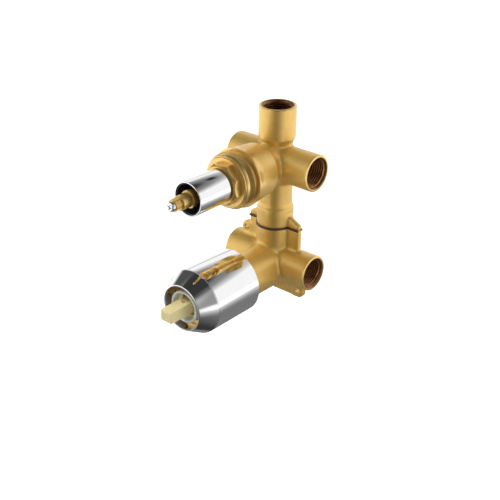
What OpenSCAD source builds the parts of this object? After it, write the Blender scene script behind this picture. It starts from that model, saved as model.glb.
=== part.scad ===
// Concealed shower mixer valve: two brass castings, one above the other.
// The lower one holds a single-lever mixing cartridge, the upper one a splined three-way diverter.
// Origin: the mixing axis where it crosses the line of the two inlets. +Z is up and -Y is to the user.
// Sections are drawn as [radius, forward], where forward is the distance from the port plane to the user.

/* [Layout] */
// Distance between the mixing axis and the diverter axis above it
axis_gap = 76.2; // [72:0.2:86]
// Height of the joint between the two castings
joint_z = 29.3; // [27:0.1:33]

/* [Ports] */
// Outer radius of the port tubes
port_r = 13; // [12.5:0.1:14]
// Radius of the threaded bores, at the root of the thread
port_bore_r = 10.5; // [10:0.1:11]
// Depth of the threaded bores
port_thread_depth = 15; // [12:0.5:17]
// Width of the chamfers at the port mouths
port_chamfer = 0.6; // [0.3:0.1:1]
// Reach of the two outlets from the diverter axis
outlet_reach = 35.3; // [33:0.1:42]
// Reach of the two inlets from the mixing axis
inlet_reach = 36; // [34:0.1:42]
// Height of the top outlet above the diverter axis
top_reach = 40.6; // [39:0.1:48]
// Length of the wide socket of the top outlet
top_socket_len = 22.6; // [20:0.1:23]
// Radius of the narrow stem under the top socket
top_stem_r = 11; // [10.5:0.1:12]

/* [Necks and webs] */
// Radius of the neck between the castings, at their joint
neck_r = 13.1; // [12.8:0.1:14]
// Radius of the thinner neck under the diverter
upper_neck_r = 11.8; // [11:0.1:12.5]
// Height of the wide collar above the joint
collar_h = 14.7; // [12:0.1:17]
// Thickness of the webs beside the neck
web_t = 4.4; // [3.5:0.1:6]
// Reach of the right web from the neck's axis
right_web = 22.9; // [20:0.1:26]
// Reach of the left web from the neck's axis
left_web = 21.8; // [20:0.1:25]
// Height of the upper casting's gussets at their outer ends
gusset_h = 3.4; // [2:0.1:5]
// Height of the upper casting's gussets at the collar
gusset_rise = 8.7; // [6:0.1:11]

/* [Fixing lugs] */
// Sideways distance of each fixing hole from the mixing axis
lug_x = 24.2; // [23:0.1:27]
// Height of one fixing hole above the mixing axis, and depth of the other below it
lug_z = 18.3; // [17:0.1:21]
// Radius of the fixing holes
lug_hole_r = 2.2; // [1.8:0.1:2.5]
// Distance from a fixing hole to the edges of its lug
lug_edge = 4.5; // [4:0.1:6]
// Thickness of the fixing lugs
lug_t = 5.4; // [4.6:0.1:7]

/* [Castings] */
// Radius of the hub where the outlets meet
hub_r = 14.6; // [14.2:0.1:16]
// Distance of the hub's centre below the diverter axis
hub_drop = 1.2; // [0:0.1:2]
// Depth of both castings behind the port plane
back_depth = 13.4; // [12:0.1:16]
// Radius of the bell at its shoulder
bell_r = 19; // [18.5:0.1:20]
// Radius of the bell's front rim
bell_rim_r = 20.8; // [20.3:0.1:23]
// Forward place of the bell's front rim
bell_front = 42; // [40.5:0.1:43]
// Outer radius of the threaded boss in front of the bell
boss_r = 19.3; // [18.6:0.1:20]
// Forward place of the boss's front face
boss_front = 51.7; // [50.5:0.1:54]
// Radius of the mixing barrel behind the sleeve
barrel_r = 15.8; // [15.4:0.1:17]
// Distance of the barrel's centre below the mixing axis
barrel_drop = 2.2; // [1.5:0.1:2.6]
// Outer radius of the cartridge chamber
chamber_r = 21.4; // [21:0.1:21.5]
// Forward place of the chamber's mouth
chamber_mouth = 79; // [77:0.1:79.5]

/* [Waterways] */
// Radius of the outlet passages inside the upper casting
passage_r = 3.8; // [3:0.1:4]
// Radius of the holes in the diverter's floor and disc
diverter_hole_r = 3; // [2.5:0.1:3.2]
// Distance of the outlet holes from the diverter axis
diverter_hole_pitch = 8; // [7.5:0.1:8.4]
// Radius of the two inlet holes in the cartridge's floor
inlet_hole_r = 3.1; // [2.5:0.1:3.4]
// Sideways distance of the inlet holes from the mixing axis
inlet_hole_x = 5.8; // [5.6:0.1:6.2]
// Distance of the inlet holes below the mixing axis
inlet_hole_z = 6.4; // [6:0.1:7]
// Radius of the mixed water hole in the cartridge's floor
mixed_hole_r = 3.8; // [3:0.1:4]
// Height of the mixed water hole above the mixing axis
mixed_hole_z = 7.2; // [6.8:0.1:7.6]
// Radius of the neck's bore
neck_bore_r = 7.5; // [6:0.1:8]
// Length of the spigot that enters the lower neck
spigot_len = 9; // [7:0.5:11]
// Radius of the spigot
spigot_r = 10; // [9.6:0.1:10.6]

/* [Diverter] */
// Forward place of the floor that the diverter's seal lies on
diverter_floor = 24; // [23:0.1:26]
// Outer radius of the bonnet's skirt around the discs
skirt_r = 14.1; // [13.6:0.1:14.6]
// Wall of the bonnet's skirt
skirt_wall = 1.5; // [1.2:0.1:1.7]
// Radius of the bonnet's screwed part
bonnet_thread_r = 16.35; // [15.8:0.05:16.8]
// Length of the bonnet's screwed part
bonnet_thread_len = 11; // [8:0.1:11.5]
// Radius of the bonnet's flange
flange_r = 17.6; // [17.2:0.1:18]
// Thickness of the bonnet's flange
flange_t = 1.6; // [1.2:0.1:2.2]
// Width across the flats of the bonnet's octagon
octagon_af = 27; // [26:0.1:29]
// Length of the octagon's flats
octagon_h = 4; // [3:0.1:5]
// Length of the octagon's sloping front
octagon_slope = 1.9; // [1:0.1:2.4]
// Radius of the octagon's flat front face
octagon_face_r = 12.9; // [12.4:0.1:13.2]
// Radius of the bonnet's shank inside the sleeve
shank_r = 10; // [9.6:0.1:10.2]
// Length of the bonnet's shank
shank_len = 7; // [5:0.1:10]
// Outer radius of the spindle's bush
bush_r = 6.1; // [5.9:0.1:7]
// Forward place of the bush's front end
bush_front = 88.8; // [84:0.1:90]
// Thickness of the rubber seal under the ceramic discs
disc_seal_t = 2.4; // [1.8:0.1:3]
// Thickness of the fixed ceramic disc
diverter_fixed_t = 4; // [3:0.1:4.4]
// Thickness of the turning ceramic disc
diverter_turning_t = 4; // [3.2:0.1:4.4]
// Thickness of the spindle's foot
foot_t = 3; // [2.4:0.1:3.6]
// Thickness of the slide washer on the spindle's foot
washer_t = 0.6; // [0.4:0.1:1]

/* [Spindle] */
// Radius of the spindle in its bush
spindle_r = 5; // [4.6:0.1:5.2]
// Forward place of the spindle's smooth end
spindle_shoulder = 96.9; // [93:0.1:97.2]
// Outer radius of the splines
spline_r = 4.2; // [4:0.1:4.5]
// Depth of the splines
spline_depth = 0.45; // [0.3:0.05:0.6]
// Number of splines
spline_teeth = 20; // [16:1:24]
// Forward place of the spindle's front end
spindle_front = 102.2; // [101:0.1:106]
// Radius of the handle screw
screw_r = 1.95; // [1.8:0.05:2.4]
// Length of the handle screw under its head
screw_len = 8; // [6:0.5:12]
// Radius of the handle screw's head
screw_head_r = 3.4; // [3:0.1:3.6]
// Height of the handle screw's head
screw_head_h = 2.5; // [2:0.1:3]

/* [Sleeves] */
// Outer radius of the diverter's chrome sleeve
small_sleeve_r = 11.75; // [11.6:0.05:12.3]
// Wall of the diverter's chrome sleeve
small_sleeve_wall = 0.9; // [0.7:0.05:1.1]
// Forward place of the small sleeve's rear end
small_sleeve_back = 60.5; // [60:0.1:61.5]
// Forward place of the small sleeve's front end
small_sleeve_front = 88.6; // [84:0.1:89]
// Outer radius of the mixing sleeve
big_sleeve_r = 22.9; // [22.7:0.1:24]
// Wall of the mixing sleeve
big_sleeve_wall = 1; // [0.8:0.1:1.2]
// Forward place of the mixing sleeve's rear end
big_sleeve_back = 43.7; // [42:0.1:45]
// Forward place of the mixing sleeve's front end
big_sleeve_front = 84.4; // [83:0.1:85]
// Forward place of the dome cap's rim
dome_front = 96.6; // [95.5:0.1:98]
// Outer radius of the dome cap's rim
dome_rim_r = 16.3; // [16:0.1:17.5]
// Thickness of the dome cap's rim
dome_rim_wall = 0.8; // [0.6:0.1:1]
// Wall of the dome cap
dome_wall = 1.3; // [1:0.1:1.6]

/* [Cartridge] */
// Forward place of the chamber floor that the cartridge sits on
cartridge_floor = 57; // [56:0.1:58]
// Outer radius of the cartridge
cartridge_r = 17.4; // [17.2:0.1:17.6]
// Wall of the cartridge housing
housing_wall = 1.6; // [1.3:0.1:1.8]
// Thickness of the cartridge's base
base_t = 6; // [5.5:0.1:6.5]
// Thickness of the fixed ceramic disc
fixed_disc_t = 4.5; // [4:0.1:5]
// Thickness of the sliding ceramic disc
sliding_disc_t = 3.5; // [3.2:0.1:4]
// Radius of the sliding ceramic disc and its carrier
sliding_disc_r = 12.4; // [12:0.1:13]
// Thickness of the disc carrier
carrier_t = 5; // [4.8:0.1:5.4]
// Thickness of the rotor's flange
rotor_flange_t = 4.8; // [4.4:0.1:5]
// Thickness of the housing's shoulder
shoulder_t = 2; // [1.6:0.1:2.4]
// Outer radius of the cartridge's collar
collar_r = 11.6; // [11.3:0.1:11.7]
// Wall of the cartridge's collar
collar_wall = 1.9; // [1.6:0.1:2]
// Forward place of the collar's front end
collar_front = 94.5; // [93.5:0.1:95.5]
// Depth of the rotor's face inside the collar
rotor_recess = 4.5; // [3:0.1:5]

/* [Lever] */
// Width of the lever
lever_w = 10; // [9:0.1:10.4]
// Height of the lever
lever_h = 8.3; // [7.6:0.1:8.6]
// Forward place of the lever's tip
lever_front = 111.5; // [106:0.1:116]
// Distance of the lever's pin in front of the rotor's flange
pin_offset = 2.5; // [2:0.1:3.5]
// Radius of the lever's pin
pin_r = 1.25; // [1:0.05:1.5]
// Radius of the round foot under the lever
lever_foot_r = 2.4; // [2:0.1:2.6]
// Largest tilt of the lever to each side
lever_tilt = 12.5; // [8:0.5:13]
// Radius of the dimple for the handle's screw
dimple_r = 1.4; // [1:0.1:1.8]

/* [Retaining nut] */
// Outer radius of the nut's screwed skirt
nut_r = 18.9; // [18.6:0.05:19.2]
// Length of the nut's skirt
nut_skirt_len = 11; // [9:0.5:12]
// Thickness of the nut's flange
nut_flange_t = 3; // [2.5:0.1:3.5]
// Width across the flats of the nut's hexagon
nut_af = 32; // [30:0.1:33]
// Thickness of the slip ring under the nut
slip_ring_t = 0.8; // [0.6:0.1:1.2]

/* [Fits] */
// Radial clearance of a shaft that turns in its bore
running = 0.05; // [0.03:0.01:0.08]
// Radial clearance between parts that are assembled by hand
loose = 0.2; // [0.15:0.05:0.25]
// Axial gap between sliding faces
slide_gap = 0.05; // [0.03:0.01:0.1]
// Radius of the rubber rings' section
ring_section = 0.9; // [0.7:0.05:1]
// Radius of the smaller rubber rings' section, on the spindle and the spigot
small_ring_section = 0.75; // [0.6:0.05:0.8]
// Gap between a rubber ring and the walls of its groove
ring_gap = 0.03; // [0.02:0.01:0.05]

/* [Hidden] */
$fn = 96;
// Length by which every cut runs past the face that it opens
past = 1;
brass_cast = "goldenrod";
brass_turned = "gold";
chrome = "silver";
rubber = "dimgray";
ceramic = "white";
ivory = "lemonchiffon";
plastic = "lightgray";

// Widest part of the cone at a port mouth
mouth_r = port_bore_r + port_chamfer;
// Relief behind the port threads
relief_r = port_bore_r - 2;
relief_end = port_r + 1;
// Top of the collar on the upper neck
collar_top = joint_z + collar_h;
// Forward places of the diverter's stack
div_disc_back = diverter_floor + disc_seal_t;
div_turning_back = div_disc_back + diverter_fixed_t;
div_foot_back = div_turning_back + diverter_turning_t + slide_gap;
div_washer_back = div_foot_back + foot_t;
skirt_ceiling = div_washer_back + washer_t + slide_gap;
skirt_bore_r = skirt_r - skirt_wall;
div_disc_r = skirt_bore_r - loose;
bonnet_thread_back = boss_front - bonnet_thread_len;
flange_front = boss_front + flange_t;
octagon_front = flange_front + octagon_h;
octagon_end = octagon_front + octagon_slope;
shank_front = octagon_end + shank_len;
bush_bore_r = spindle_r + running;
small_sleeve_bore = small_sleeve_r - small_sleeve_wall;
// Floor of the pocket in the disc carrier, and the lever foot's play over it
pocket_floor = 0.6;
foot_play = 0.4;
// Forward places of the cartridge's stack
base_front = cartridge_floor + base_t;
fixed_front = base_front + fixed_disc_t;
sliding_front = fixed_front + slide_gap + sliding_disc_t;
carrier_front = sliding_front + carrier_t;
rotor_back = carrier_front + loose;
rotor_shoulder = rotor_back + rotor_flange_t;
housing_ceiling = rotor_shoulder + slide_gap;
housing_shoulder = housing_ceiling + shoulder_t;
nut_seat = housing_shoulder + slip_ring_t;
nut_front = nut_seat + nut_flange_t;
nut_back = nut_seat - nut_skirt_len;
housing_bore_r = cartridge_r - housing_wall;
collar_bore_r = collar_r - collar_wall;
rotor_front = collar_front - rotor_recess;
chamber_bore_r = cartridge_r + loose;
nut_bore_r = nut_r + running;
pin_d = rotor_shoulder + pin_offset;
foot_d = sliding_front + pocket_floor + foot_play + lever_foot_r;
lever_arm = pin_d - foot_d;
big_sleeve_bore = big_sleeve_r - big_sleeve_wall;
throat_r = dome_rim_r - dome_rim_wall;

// Places of the three holes through the cartridge's floor, base and fixed disc: [x, z, radius]
floor_holes = [[-inlet_hole_x, -inlet_hole_z, inlet_hole_r],
               [inlet_hole_x, -inlet_hole_z, inlet_hole_r],
               [0, mixed_hole_z, mixed_hole_r]];
// Directions of the left, top and right outlets, as seen by the user
outlet_angles = [0, 90, 180];

// Revolves the [radius, forward] section around a forward axis at height z
module turned(z = 0)
    translate([0, 0, z]) rotate([90, 0, 0]) rotate_extrude() children();

// Round bar along the forward direction, between two forward places
module rod(r, back, front, x = 0, z = 0)
    translate([x, -back, z]) rotate([90, 0, 0]) cylinder(r = r, h = front - back);

// Round bar across, between two x values
module cross_rod(r, left, right, z = 0)
    translate([left, 0, z]) rotate([0, 90, 0]) cylinder(r = r, h = right - left);

// Upright bar between two heights
module post(r, bottom, top)
    translate([0, 0, bottom]) cylinder(r = r, h = top - bottom);

// Flat outline in x and z, made into a plate of thickness t on the port plane
module plate(t)
    rotate([90, 0, 0]) translate([0, 0, -t / 2]) linear_extrude(t) children();

// Rubber ring around a forward axis, in a bore of radius bore_r
module ring(bore_r, section, at, z = 0)
    turned(z) translate([bore_r - section - ring_gap, at]) circle(r = section, $fn = 32);

// Section of the groove for a rubber ring, cut into a shaft that stands in a bore of radius bore_r
module groove(bore_r, section, at)
    translate([bore_r - 2 * section - 2 * ring_gap, at - section - 0.15])
        square([2 * section + past, 2 * section + 0.3]);

// Port tube: straight, with a chamfered outer edge at z = 0 and its root below
module port_tube(r, length)
    translate([0, 0, -length]) {
        cylinder(r = r, h = length - port_chamfer);
        translate([0, 0, length - port_chamfer])
            cylinder(r1 = r, r2 = r - port_chamfer, h = port_chamfer);
    }

// Cut of a threaded port: chamfered mouth at z = 0, thread bore, then a narrower relief
module port_cut(relief) {
    translate([0, 0, -port_thread_depth]) cylinder(r = port_bore_r, h = port_thread_depth + past);
    translate([0, 0, -port_chamfer])
        cylinder(r1 = port_bore_r, r2 = mouth_r + past, h = port_chamfer + past);
    translate([0, 0, -relief]) cylinder(r = relief_r, h = relief);
}

// Bar with a rounded back end, around a forward axis at height z
module rounded_back(r, front, z) {
    corner = r / 2;
    turned(z) {
        translate([0, corner - back_depth]) square([r, front + back_depth - corner]);
        translate([0, -back_depth]) square([r - corner, corner]);
        intersection() {
            translate([r - corner, corner - back_depth]) circle(r = corner);
            translate([0, -back_depth]) square([r, corner]);
        }
    }
}

// Radius of the bell at a share s of its length, from the hub (0) to the shoulder (1)
function swell(s) = hub_r + (bell_r - hub_r) * (3 - 2 * s) * s * s;

// Section of the bell: a smooth swell, a slight taper to the rim, and the threaded boss
module bell_section() {
    start = 11;
    shoulder = 26;
    steps = 8;
    groove_w = 0.9;
    thread_back = bell_front + 2.7;
    polygon(concat(
        [[0, start], [hub_r, start]],
        [for (i = [1:steps]) [swell(i / steps), start + (shoulder - start) * i / steps]],
        [[bell_rim_r - 0.4, bell_front - 2], [bell_rim_r, bell_front - 1.2],
         [bell_rim_r, bell_front - 0.4], [bell_rim_r - 0.4, bell_front],
         [boss_r, bell_front], [boss_r, thread_back],
         [boss_r - 0.8, thread_back], [boss_r - 0.8, thread_back + groove_w],
         [boss_r, thread_back + groove_w], [boss_r, boss_front - 1.3],
         [boss_r - 1.3, boss_front], [0, boss_front]]));
}

// Outline of an upper gusset on one side: a foot on the joint and a sloping top
module gusset(reach)
    polygon([[0, joint_z], [reach, joint_z], [reach, joint_z + gusset_h],
             [neck_r, joint_z + gusset_rise], [0, joint_z + gusset_rise]]);

// Outline of a fixing lug, with a rounded outer corner, between the port tube and the web
module lug_outline() {
    corner = lug_edge * 0.8;
    outer = lug_x + lug_edge;
    top = lug_z + lug_edge;
    inner = lug_x - lug_edge;
    translate([inner, 0]) square([outer - inner - corner, top]);
    translate([inner, 0]) square([outer - inner, top - corner]);
    translate([outer - corner, top - corner]) circle(r = corner);
}

module upper_casting() color(brass_cast) difference() {
    union() {
        rounded_back(hub_r, 14, axis_gap - hub_drop);
        turned(axis_gap) bell_section();
        for (side = [-1, 1])
            translate([side * outlet_reach, 0, axis_gap]) rotate([0, side * 90, 0])
                port_tube(port_r, outlet_reach);
        translate([0, 0, axis_gap + top_reach]) port_tube(port_r, top_socket_len);
        post(top_stem_r, axis_gap, axis_gap + top_reach - top_socket_len);
        translate([0, 0, axis_gap + top_reach - top_socket_len - 3.2])
            cylinder(r1 = top_stem_r, r2 = port_r, h = 3.2);
        post(upper_neck_r, collar_top, axis_gap);
        post(neck_r, joint_z, collar_top - 0.5);
        translate([0, 0, collar_top - 0.5]) cylinder(r1 = neck_r, r2 = neck_r - 0.5, h = 0.5);
        plate(web_t) {
            gusset(right_web);
            mirror([1, 0]) gusset(left_web);
        }
        post(spigot_r, joint_z - spigot_len, joint_z + past);
    }
    for (side = [-1, 1])
        translate([side * outlet_reach, 0, axis_gap]) rotate([0, side * 90, 0])
            port_cut(outlet_reach - relief_end);
    translate([0, 0, axis_gap + top_reach]) port_cut(top_reach - relief_end);
    for (angle = outlet_angles) translate([0, 0, axis_gap]) rotate([0, -angle, 0]) {
        cross_rod(passage_r, diverter_hole_pitch, relief_end + past);
        rod(diverter_hole_r, 0, diverter_floor + past, diverter_hole_pitch);
    }
    rod(diverter_hole_r, -diverter_hole_r, diverter_floor + past, 0, axis_gap);
    post(diverter_hole_r, collar_top, axis_gap);
    post(neck_bore_r, joint_z - spigot_len - past, axis_gap - hub_r - hub_drop);
    rod(skirt_r + loose, diverter_floor, boss_front, 0, axis_gap);
    rod(bonnet_thread_r + running, bonnet_thread_back, boss_front + past, 0, axis_gap);
    translate([0, 0, joint_z - spigot_len / 2]) rotate_extrude()
        groove(spigot_r + running, small_ring_section, 0);
}

module lower_casting() color(brass_cast) difference() {
    union() {
        for (side = [-1, 1])
            translate([side * inlet_reach, 0, 0]) rotate([0, side * 90, 0])
                port_tube(port_r, inlet_reach);
        rounded_back(barrel_r, big_sleeve_back + 4, -barrel_drop);
        turned() chamber_section();
        post(neck_r, 0, joint_z);
        plate(web_t) {
            square([right_web, joint_z]);
            mirror([1, 0]) square([left_web, joint_z]);
            mirror([0, 1]) square([lug_x, lug_z + lug_edge]);
        }
        for (turn = [0, 180]) rotate([0, turn, 0])
            plate(lug_t) mirror([1, 0]) lug_outline();
    }
    for (side = [-1, 1]) {
        translate([side * inlet_reach, 0, 0]) rotate([0, side * 90, 0])
            port_cut(inlet_reach - relief_end);
        translate([0, 0, -inlet_hole_z / 2]) rotate([0, 90 + side * 90, 0])
            cross_rod(inlet_hole_r + 0.5, -relief_end - past, -inlet_hole_x);
        rotate([0, 90 - side * 90, 0]) translate([-lug_x, 0, lug_z])
            rotate([90, 0, 0]) cylinder(r = lug_hole_r, h = 2 * lug_t, center = true);
        rod(peg_r + running, cartridge_floor - peg_len - 0.4, cartridge_floor + past,
            side * peg_x, peg_z);
    }
    for (hole = floor_holes) rod(hole[2], -hole[2], cartridge_floor + past, hole[0], hole[1]);
    post(mixed_hole_r, mixed_hole_z, port_r + past);
    post(neck_bore_r, port_r, joint_z);
    post(spigot_r + running, joint_z - spigot_len, joint_z + past);
    rod(chamber_bore_r, cartridge_floor, chamber_mouth + past);
    rod(nut_bore_r, nut_back - past, chamber_mouth + past);
}

// Pegs that stop the cartridge from turning in the chamber
peg_r = 1.9;
peg_len = 2.6;
peg_x = 12.6;
peg_z = 4.6;

// Section of the cartridge chamber: it swells out of the barrel inside the sleeve
module chamber_section() {
    ring_at = big_sleeve_back + 9;
    difference() {
        polygon([[0, big_sleeve_back - 6], [barrel_r - barrel_drop, big_sleeve_back - 6],
                 [barrel_r + 0.4, big_sleeve_back - 3], [barrel_r + 2.4, big_sleeve_back],
                 [chamber_r - 1.4, big_sleeve_back + 3], [chamber_r, big_sleeve_back + 5],
                 [chamber_r, chamber_mouth - 0.6], [chamber_r - 0.6, chamber_mouth],
                 [0, chamber_mouth]]);
        groove(big_sleeve_bore, ring_section, ring_at);
    }
}

module joint_bead() color("saddlebrown") {
    stand = 0.5;
    h = 1.6;
    translate([0, 0, joint_z - h / 2]) linear_extrude(h) difference() {
        union() {
            circle(r = neck_r + stand);
            translate([-left_web, -web_t / 2 - stand]) square([left_web + right_web, web_t + 2 * stand]);
        }
        circle(r = neck_r);
        translate([-left_web - past, -web_t / 2])
            square([left_web + right_web + 2 * past, web_t]);
    }
}

module neck_ring() color(rubber)
    translate([0, 0, joint_z - spigot_len / 2]) rotate_extrude()
        translate([spigot_r + running - small_ring_section - ring_gap, 0])
            circle(r = small_ring_section, $fn = 32);

module diverter_bonnet() color(brass_turned) difference() {
    union() {
        turned(axis_gap) polygon([
            [0, diverter_floor], [skirt_r, diverter_floor], [skirt_r, bonnet_thread_back + 1],
            [bonnet_thread_r - 1, bonnet_thread_back + 1],
            [bonnet_thread_r, bonnet_thread_back + 2], [bonnet_thread_r, boss_front],
            [flange_r, boss_front], [flange_r, flange_front - 0.5],
            [flange_r - 0.5, flange_front], [0, flange_front]]);
        octagon();
        turned(axis_gap) polygon([
            [0, flange_front], [shank_r, flange_front], [shank_r, shank_front - 0.8],
            [shank_r - 0.8, shank_front], [bush_r, shank_front], [bush_r, bush_front - 0.5],
            [bush_r - 0.5, bush_front], [0, bush_front]]);
    }
    rod(skirt_bore_r, diverter_floor - past, skirt_ceiling, 0, axis_gap);
    rod(bush_bore_r, skirt_ceiling - past, bush_front + past, 0, axis_gap);
    translate([-skirt_r - past, -div_turning_back - loose, axis_gap - (ear_w + loose) / 2])
        cube([2 * (skirt_r + past), div_turning_back + loose - diverter_floor + past, ear_w + loose]);
    turned(axis_gap) groove(bonnet_thread_r, ring_section, bonnet_ring_at);
}

// Forward place of the rubber ring under the bonnet's flange
bonnet_ring_at = boss_front - ring_section - 0.15;
// Width of the two ears that key the fixed disc to the bonnet's skirt
ear_w = 4;

// Octagon of the bonnet, with its corners turned down at both ends
module octagon() {
    corner_r = octagon_af / 2 / cos(22.5);
    intersection() {
        translate([0, -flange_front, axis_gap]) rotate([90, 0, 0]) rotate([0, 0, 26])
            cylinder(r = corner_r, h = octagon_h + octagon_slope, $fn = 8);
        turned(axis_gap) polygon([
            [0, flange_front], [corner_r - 0.3, flange_front], [corner_r, flange_front + 0.4],
            [corner_r, octagon_front], [octagon_face_r, octagon_end], [0, octagon_end]]);
    }
}

module bonnet_ring() color(rubber)
    ring(bonnet_thread_r, ring_section, bonnet_ring_at, axis_gap);

// Water holes of the diverter: one in the middle and three around it
module diverter_holes(back, front, angles) {
    rod(diverter_hole_r, back, front, 0, axis_gap);
    for (angle = angles) translate([0, 0, axis_gap]) rotate([0, -angle, 0])
        rod(diverter_hole_r, back, front, diverter_hole_pitch);
}

module diverter_seal() color(rubber) difference() {
    rod(div_disc_r, diverter_floor, div_disc_back, 0, axis_gap);
    diverter_holes(diverter_floor - past, div_disc_back + past, outlet_angles);
}

module diverter_fixed_disc() color(ceramic) difference() {
    union() {
        rod(div_disc_r, div_disc_back, div_turning_back - slide_gap, 0, axis_gap);
        translate([0, -(div_disc_back + div_turning_back - slide_gap) / 2, axis_gap])
            cube([2 * skirt_r - loose, diverter_fixed_t - slide_gap, ear_w], center = true);
    }
    diverter_holes(div_disc_back - past, div_turning_back + past, outlet_angles);
}

// The turning disc has a trough that joins the middle hole to one outlet, and a slot for the spindle
module diverter_turning_disc() color(ceramic) difference() {
    front = div_turning_back + diverter_turning_t;
    rod(div_disc_r - loose, div_turning_back, front, 0, axis_gap);
    for (up = [0, diverter_hole_pitch])
        rod(diverter_hole_r, div_turning_back - past, div_turning_back + 1.8, 0, axis_gap + up);
    translate([-diverter_hole_r, -div_turning_back - 1.8, axis_gap])
        cube([2 * diverter_hole_r, 1.8 + past, diverter_hole_pitch]);
    translate([0, -front, axis_gap])
        cube([16.2, 3, key_w + 2 * running], center = true);
}

// Width of the spindle's key in the turning disc
key_w = 4;

module slide_washer() color("whitesmoke") turned(axis_gap)
    translate([spindle_r + loose, div_washer_back])
        square([skirt_bore_r - loose - spindle_r - loose, washer_t]);

// Outline of the splines: a ring of pointed teeth with flat tips
module spline_outline() {
    step = 360 / spline_teeth;
    polygon([for (i = [0:spline_teeth - 1]) for (k = [0, 0.2, 0.5, 0.7])
        let (r = k < 0.3 ? spline_r : spline_r - spline_depth)
            [r * cos((i + k) * step), r * sin((i + k) * step)]]);
}

module spindle() color(brass_turned) difference() {
    neck = 0.8;
    union() {
        turned(axis_gap) polygon([
            [0, div_foot_back], [div_disc_r - loose, div_foot_back],
            [div_disc_r - loose, div_washer_back], [spindle_r, div_washer_back],
            [spindle_r, spindle_shoulder - 0.5], [spindle_r - 0.5, spindle_shoulder],
            [spline_r - spline_depth, spindle_shoulder],
            [spline_r - spline_depth, spindle_shoulder + neck], [0, spindle_shoulder + neck]]);
        translate([0, -spindle_shoulder - neck, axis_gap]) rotate([90, 0, 0])
            linear_extrude(spindle_front - spindle_shoulder - neck) spline_outline();
        translate([-8, -div_foot_back - past, axis_gap - key_w / 2]) cube([16, past + 1.4, key_w]);
    }
    rod(screw_r + running, spindle_front - screw_len - 2, spindle_front + past, 0, axis_gap);
    for (at = spindle_ring_places) turned(axis_gap) groove(bush_bore_r, small_ring_section, at);
}

// Forward places of the two rubber rings on the spindle
spindle_ring_places = [skirt_ceiling + 8, skirt_ceiling + 14];

module spindle_rings() color(rubber) for (at = spindle_ring_places)
    ring(bush_bore_r, small_ring_section, at, axis_gap);

module handle_screw() color(chrome) difference() {
    turned(axis_gap) {
        polygon([[0, spindle_front - screw_len], [screw_r - 0.4, spindle_front - screw_len],
                 [screw_r, spindle_front - screw_len + 0.4], [screw_r, spindle_front],
                 [screw_head_r, spindle_front], [screw_head_r, spindle_front + screw_head_h * 0.5],
                 [screw_head_r - 0.4, spindle_front + screw_head_h * 0.8],
                 [screw_head_r - 1.2, spindle_front + screw_head_h], [0, spindle_front + screw_head_h]]);
    }
    for (turn = [20, 110]) translate([0, -spindle_front - screw_head_h, axis_gap]) rotate([0, turn, 0])
        cube([0.9, 2.6, 4], center = true);
}

module small_sleeve() color(chrome) turned(axis_gap) polygon([
    [small_sleeve_bore, small_sleeve_back], [small_sleeve_r - 0.2, small_sleeve_back],
    [small_sleeve_r, small_sleeve_back + 0.2], [small_sleeve_r, small_sleeve_front - 0.3],
    [small_sleeve_r - 0.3, small_sleeve_front], [small_sleeve_bore, small_sleeve_front]]);

module small_sleeve_liner() color("black") turned(axis_gap)
    translate([shank_r + running, small_sleeve_back])
        square([small_sleeve_bore - shank_r - 2 * running, small_sleeve_front - small_sleeve_back - 0.7]);

// Water holes of the mixing cartridge
module cartridge_holes(back, front)
    for (hole = floor_holes) rod(hole[2], back, front, hole[0], hole[1]);

// Grooves or rings around the cartridge's water holes
module hole_rings(back, front, slack)
    for (hole = floor_holes) difference() {
        rod(hole[2] + 1.8 + slack, back, front, hole[0], hole[1]);
        rod(hole[2] + 0.6 - slack, back - past, front + past, hole[0], hole[1]);
    }

// Depth of the grooves in both faces of the cartridge's base
ring_depth = 1.2;
// Depth of the base's narrow part inside the housing
base_step = 2;

module cartridge_base() color(plastic) difference() {
    union() {
        rod(cartridge_r, cartridge_floor, base_front - base_step);
        rod(housing_bore_r - running, base_front - base_step, base_front);
        for (side = [-1, 1])
            rod(peg_r, cartridge_floor - peg_len, cartridge_floor + past, side * peg_x, peg_z);
    }
    cartridge_holes(cartridge_floor - past, base_front + past);
    hole_rings(cartridge_floor - past, cartridge_floor + ring_depth, 0.1);
    hole_rings(base_front - ring_depth, base_front + past, 0.1);
}

module base_rings() color(rubber) {
    hole_rings(cartridge_floor, cartridge_floor + ring_depth, 0);
    hole_rings(base_front - ring_depth, base_front, 0);
}

module fixed_disc() color(ceramic) difference() {
    rod(housing_bore_r - loose, base_front, fixed_front);
    cartridge_holes(base_front - past, fixed_front + past);
}

// The sliding disc's hollow joins the inlets to the mixed water hole as the lever lifts
module sliding_disc() color(ceramic) difference() {
    back = fixed_front + slide_gap;
    hollow = 1.8;
    rod(sliding_disc_r, back, sliding_front);
    rod(5.6, back - past, back + hollow, 0, 5.2);
    rod(4.4, back - past, back + hollow, 0, 0.4);
    for (side = [-1, 1])
        rod(carrier_peg_r + running, sliding_front - 1.4, sliding_front + past, side * carrier_peg_x);
}

// Pegs that join the carrier to the sliding disc
carrier_peg_r = 1.2;
carrier_peg_x = 8;
// Half width of the carrier between the rotor's guides
carrier_half = 9;

module disc_carrier() color("gainsboro") difference() {
    union() {
        intersection() {
            rod(sliding_disc_r, sliding_front, carrier_front);
            translate([-carrier_half, -carrier_front, -sliding_disc_r])
                cube([2 * carrier_half, carrier_t, 2 * sliding_disc_r]);
        }
        for (side = [-1, 1])
            rod(carrier_peg_r, sliding_front - 1.2, sliding_front + past, side * carrier_peg_x);
    }
    translate([-foot_half - loose, -carrier_front - past, -lever_foot_r - running])
        cube([2 * (foot_half + loose), carrier_t + past - pocket_floor, 2 * (lever_foot_r + running)]);
}

// Half length of the lever's round foot
foot_half = 3;
// Height to which the lever's slot opens, on each side of the axis
slot_half = lever_h / 2 + (rotor_front - pin_d + 1) * sin(lever_tilt) + 0.8;

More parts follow.
